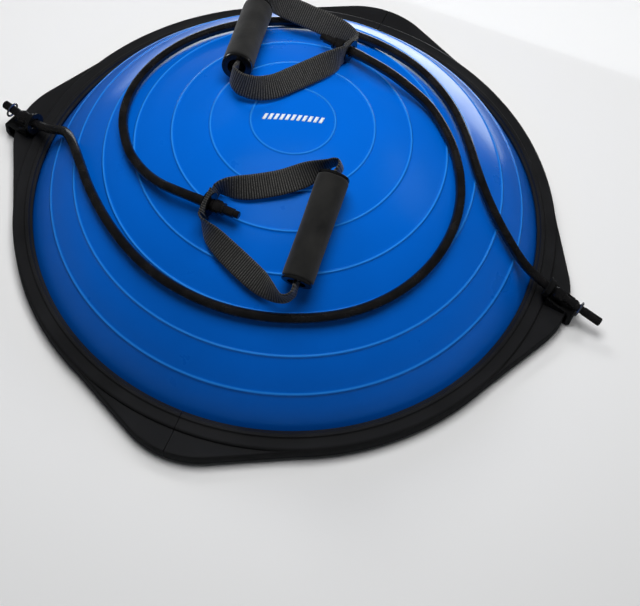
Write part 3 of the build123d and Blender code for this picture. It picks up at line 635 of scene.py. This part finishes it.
def build_ring(side, first_degrees):
    """Half of the clamping ring, from one seam to the other."""
    start = math.radians(first_degrees + HALF_SEAM_DEGREES)
    end = math.radians(first_degrees + 180 - HALF_SEAM_DEGREES)
    points = []
    for k in range(RIM_STEPS + 1):
        turn = start + (end - start) * k / RIM_STEPS
        points += [(r * math.cos(turn), r * math.sin(turn), z) for r, z in ring_section(turn)]
    columns = len(points) // (RIM_STEPS + 1)
    faces = grid_faces(RIM_STEPS + 1, columns, close_columns=True)
    faces += [tuple(range(columns)), tuple(RIM_STEPS * columns + c for c in range(columns))]
    piece = mesh_piece(f"ring_{side}", points, faces, "ring_plastic", 50)
    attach(piece, "trainer")
    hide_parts(f"clamp_ring_{side}")


# ---- resistance tubes ----
def joint_named(name):
    return next(joint for joint in frame["joints"] if joint["name"] == name)


def eyelet_frame(name):
    """Origin at the eyelet, X along the tube, Y sideways, Z away from the dome."""
    joint = joint_named(f"{name}_handle_lift")
    flex = Vector(joint["pos_m"])
    axis = Vector(joint["axis"]).normalized()
    spoke = flex - Vector((0, 0, CROWN_Z))
    height = math.sqrt(spoke.length_squared - FLEX_BEFORE_EYELET**2)
    ahead = spoke.cross(axis)
    up = (spoke * height - ahead * FLEX_BEFORE_EYELET).normalized()
    along = up.cross(axis)
    if (flex + along * FLEX_BEFORE_EYELET - Vector((0, 0, CROWN_Z))).length > height + 1e-5:
        up = (spoke * height + ahead * FLEX_BEFORE_EYELET).normalized()
        along = up.cross(axis)
    turn = Matrix((along, up.cross(along), up)).transposed().to_4x4()
    return Matrix.Translation(flex + along * FLEX_BEFORE_EYELET) @ turn


def tube_route(side):
    flex = Vector(joint_named(f"{TUBE_HANDLE[side]}_handle_lift")["pos_m"])
    return [Vector(point) for point in TUBE_ROUTES[side]] + [flex]


def build_tube(side):
    """A free rubber tube from its ear hook to its handle, as one NURBS line through listed points."""
    route = tube_route(side)
    line = bpy.data.curves.new(f"resistance_tube_{side}", "CURVE")
    line.dimensions = "3D"
    line.bevel_depth = TUBE_RADIUS
    line.bevel_resolution = 10
    line.use_fill_caps = True
    spline = line.splines.new("NURBS")
    spline.points.add(len(route) - 1)
    for point, place in zip(spline.points, route):
        point.co = (*place, 1)
    spline.order_u = 3
    spline.use_endpoint_u = True
    spline.resolution_u = 14
    piece = bpy.data.objects.new(f"resistance_tube_{side}", line)
    bpy.context.scene.collection.objects.link(piece)
    paint(piece, "tube_rubber")
    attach(piece, "trainer")
    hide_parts(f"tube_{side}")
    build_flex(side)


def build_flex(side):
    """A short straight stretch of tube at the handle's eyelet, where the real tube bends when the handle is
    lifted.
    """
    name = TUBE_HANDLE[side]
    place = eyelet_frame(name)
    start = -FLEX_BEFORE_EYELET - FLEX_BACK
    end = NECK_GAP - FLEX_BEFORE_EYELET + FLEX_PAST_NECK
    steps, sides = 18, 40
    radius = TUBE_RADIUS + FLEX_PROUD
    points = []
    for k in range(steps + 1):
        x = start + (end - start) * k / steps
        edge = min(k, steps - k, 2) / 2
        size = radius * (0.94 + 0.06 * math.sqrt(edge))
        ring = [(math.cos(2 * math.pi * s / sides), math.sin(2 * math.pi * s / sides)) for s in range(sides)]
        points += [place @ Vector((x, size * y, size * z)) for y, z in ring]
    faces = grid_faces(steps + 1, sides, close_columns=True)
    faces += [tuple(range(sides)), tuple(steps * sides + s for s in range(sides))]
    piece = mesh_piece(f"tube_{side}_flex", points, faces, "tube_rubber")
    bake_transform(piece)


# ---- straps ----
def smooth_row(values, k, t):
    """Catmull-Rom between values k and k + 1."""
    a, b = values[max(k - 1, 0)], values[k]
    c, d = values[k + 1], values[min(k + 2, len(values) - 1)]
    return [
        0.5 * (2 * q + (r - p) * t + (2 * p - 5 * q + 4 * r - s) * t**2 + (3 * q - p - 3 * r + s) * t**3)
        for p, q, r, s in zip(a, b, c, d)
    ]


def strap_stations(stations):
    """The arm's stations as an even row of samples, close enough to carry its cross ribs."""
    rows = []
    for k in range(len(stations) - 1):
        span = (Vector(stations[k + 1][:3]) - Vector(stations[k][:3])).length
        count = max(2, round(span / (RIB_PITCH / 6)))
        rows += [smooth_row(stations, k, step / count) for step in range(count)]
    return rows + [list(stations[-1])]


def web_section(width, thick, crest):
    """Half-width and half-thickness round one cut of the webbing, with soft selvedges."""
    steps = 12
    outline = []
    for side in (1, -1):
        for k in range(steps + 1):
            share = side * (1 - 2 * k / steps)
            edge = (1 - abs(share) ** 6) ** 0.5
            swell = thick / 2 * (0.35 + 0.65 * edge) + RIB_DEPTH * (crest - 0.5) * edge
            outline.append((share * width / 2, side * swell, share))
    return outline


def build_strap_arm(name, end, stations):
    place = eyelet_frame(name)
    rows = strap_stations(stations)
    centres = [Vector(row[:3]) for row in rows]
    points, weave, crest_highlights = [], [], []
    travelled = 0.0
    for k, row in enumerate(rows):
        path = (centres[min(k + 1, len(rows) - 1)] - centres[max(k - 1, 0)]).normalized()
        lean = math.radians(row[3])
        up = Vector((0, 0, 1))
        across = up * math.cos(lean) + path.cross(up) * math.sin(lean)
        across = (across - path * across.dot(path)).normalized()
        normal = path.cross(across)
        if k:
            travelled += (centres[k] - centres[k - 1]).length
        wave = 0.5 + 0.5 * math.cos(2 * math.pi * travelled / RIB_PITCH)
        for wide, high, share in web_section(row[4], row[5], wave):
            ruffle = noise.noise(Vector((travelled * 60, share * 2, 7.0))) * 0.00012
            points.append(place @ (centres[k] + across * wide + normal * (high + ruffle)))
            weave.append((travelled / RIB_PITCH, share))
            # This mask places the painted highlight on each cross rib's crest.
            crest_highlights.append(wave**2)
    columns = len(points) // len(rows)
    faces = grid_faces(len(rows), columns, close_columns=True)
    faces += [tuple(range(columns)), tuple((len(rows) - 1) * columns + c for c in range(columns))]
    mesh = bpy.data.meshes.new(f"{name}_webbing_{end}")
    mesh.from_pydata(points, [], faces)
    mesh.shade_smooth()
    layer = mesh.uv_layers.new(name="weave")
    for loop in mesh.loops:
        layer.data[loop.index].uv = weave[loop.vertex_index]
    crest = mesh.attributes.new("crest", "FLOAT", "POINT")
    crest.data.foreach_set("value", crest_highlights)
    piece = bpy.data.objects.new(mesh.name, mesh)
    bpy.context.scene.collection.objects.link(piece)
    paint(piece, "webbing")
    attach(piece, f"{name}_handle")
    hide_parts(f"{name}_strap")


def strap_ends(name, end):
    """The last two stations, at the mouth of the grip and just inside it."""
    place = eyelet_frame(name).inverted()
    grip = joint_named(f"{name}_grip_spin")
    axis = Vector(grip["axis"]).normalized() * (1 if end == "plus" else -1)
    mouth = Vector(grip["pos_m"]) + axis * (FOAM_HALF + GRIP_MOUTH)
    inside = mouth - axis * STRAP_TUCK
    return [(*(place @ point), 0, 0.016, 0.004) for point in (mouth, inside)]


# ---- foam grips ----
def build_foam(name):
    grip = joint_named(f"{name}_grip_spin")
    axis = Vector(grip["axis"]).normalized()
    turn = axis.to_track_quat("Z", "Y").to_matrix().to_4x4()
    place = Matrix.Translation(Vector(grip["pos_m"])) @ turn
    profile = [(CORE_RADIUS, -FOAM_HALF)]
    for k in range(7):
        angle = math.radians(-90 + 15 * k)
        profile.append((GRIP_RADIUS - FOAM_ROUND + FOAM_ROUND * math.cos(angle),
                        -FOAM_HALF + FOAM_ROUND + FOAM_ROUND * math.sin(angle)))
    span = 2 * (FOAM_HALF - FOAM_ROUND)
    profile += [(GRIP_RADIUS, -FOAM_HALF + FOAM_ROUND + span * k / FOAM_ROWS) for k in range(1, FOAM_ROWS)]
    profile += [(r, -z) for r, z in reversed(profile[:8])]
    points = []
    for k in range(FOAM_SIDES):
        angle = 2 * math.pi * k / FOAM_SIDES
        for r, z in profile:
            spot = Vector((r * math.cos(angle), r * math.sin(angle), z))
            dent = noise.noise(spot * 90) * 0.00022 + noise.noise(spot * 320) * 0.00006
            waist = -0.00025 * math.cos(math.pi * z / (2 * FOAM_HALF)) ** 2
            size = 1 if r <= CORE_RADIUS else (r + dent + waist) / r
            points.append(place @ Vector((spot.x * size, spot.y * size, z)))
    faces = grid_faces(FOAM_SIDES, len(profile), close_rows=True, close_columns=True)
    piece = mesh_piece(f"{name}_foam", points, faces, "grip_foam")
    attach(piece, f"{name}_grip")
    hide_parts(f"{name}_grip_foam")


# ---- printed mark ----
def build_mark():
    """A plain row of slanted bars, printed on the dome near its top."""
    left, right = Vector((-0.0293, -0.0085)), Vector((0.0299, 0.0115))
    along = (right - left).normalized()
    across = Vector((-along.y, along.x))
    count, height, slant, lift = 11, 0.0075, 0.003, 0.00012
    bar_sides = (0.12, 0.72)
    pitch = (right - left).length / count
    points, faces = [], []
    for k in range(count):
        for j in range(5):
            rise = height * (j / 4 - 0.5)
            for side in bar_sides:
                flat = left + along * (pitch * (k + side) + slant * (j / 4 - 0.5)) + across * rise
                radius = flat.length
                points.append((flat.x, flat.y, dome_height(radius) + lift))
        base = k * 10
        faces += [(base + 2 * j, base + 2 * j + 1, base + 2 * j + 3, base + 2 * j + 2) for j in range(4)]
    piece = mesh_piece("dome_mark", points, faces, "print_ink")
    thick = piece.modifiers.new("thickness", "SOLIDIFY")
    thick.thickness = lift
    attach(piece, "trainer")


# ---- CAD parts that keep their shape ----
def finish_cad_parts():
    slots = {row["node"]: row["material_slot"] for row in frame["record"]["subparts"]}
    for node, part in frame["nodes"].items():
        paint(part, slots[node])
        if node.startswith("ear_hook"):
            soften(part, 0.0006)


set_camera()
for tube_side in TUBE_ROUTES:
    build_tube(tube_side)
set_studio()
build_dome()
build_ring("right", -90)
build_ring("left", 90)
for handle_name, arms in STRAPS.items():
    for arm_end, arm_stations in arms.items():
        build_strap_arm(handle_name, arm_end, arm_stations + strap_ends(handle_name, arm_end))
    build_foam(handle_name)
build_mark()
finish_cad_parts()

bpy.context.view_layer.update()
